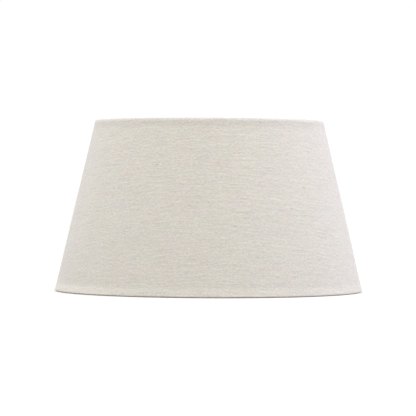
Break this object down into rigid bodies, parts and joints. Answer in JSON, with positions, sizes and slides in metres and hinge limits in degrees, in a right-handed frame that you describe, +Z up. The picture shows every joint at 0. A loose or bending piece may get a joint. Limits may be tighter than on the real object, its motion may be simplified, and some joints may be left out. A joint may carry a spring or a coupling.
{
  "type": "lamp shade",
  "caption": "Tapered drum lamp shade in natural linen on a white stiffener, with rolled rims, a recessed wire-armed fitter ring and a lift-out reducer.",
  "frame": {"origin": "centre of the circle that the bottom rim stands on", "axes": "+Z up along the shade's axis, out of the narrow end; +Y towards the cloth's lapped seam; -Y is the plain front"},
  "size_m": [0.4, 0.401, 0.222],
  "materials": {
    "linen": "natural woven linen with slubs, matt",
    "stiffener": "white styrene sheet, eggshell",
    "tape": "clear double-sided film",
    "coated_wire": "white powder coat, satin",
    "coated_steel": "white powder coat, satin",
    "reducer_plastic": "moulded, fine sparked texture"
  },
  "bodies": {
    "shade": {"linen_cover": "linen", "backing_sheet": "stiffener", "seam_tape": "tape", "top_ring": "coated_wire", "bottom_ring": "coated_wire", "spoke_1": "coated_wire", "spoke_2": "coated_wire", "spoke_3": "coated_wire", "fitter_ring": "coated_steel"},
    "reducer": {"reducer_ring": "reducer_plastic"}
  },
  "joints": [
    {"name": "reducer_lift", "type": "slide", "parent": "shade", "child": "reducer", "axis": [0, 0, 1], "range_m": [0, 0.045]}
  ]
}
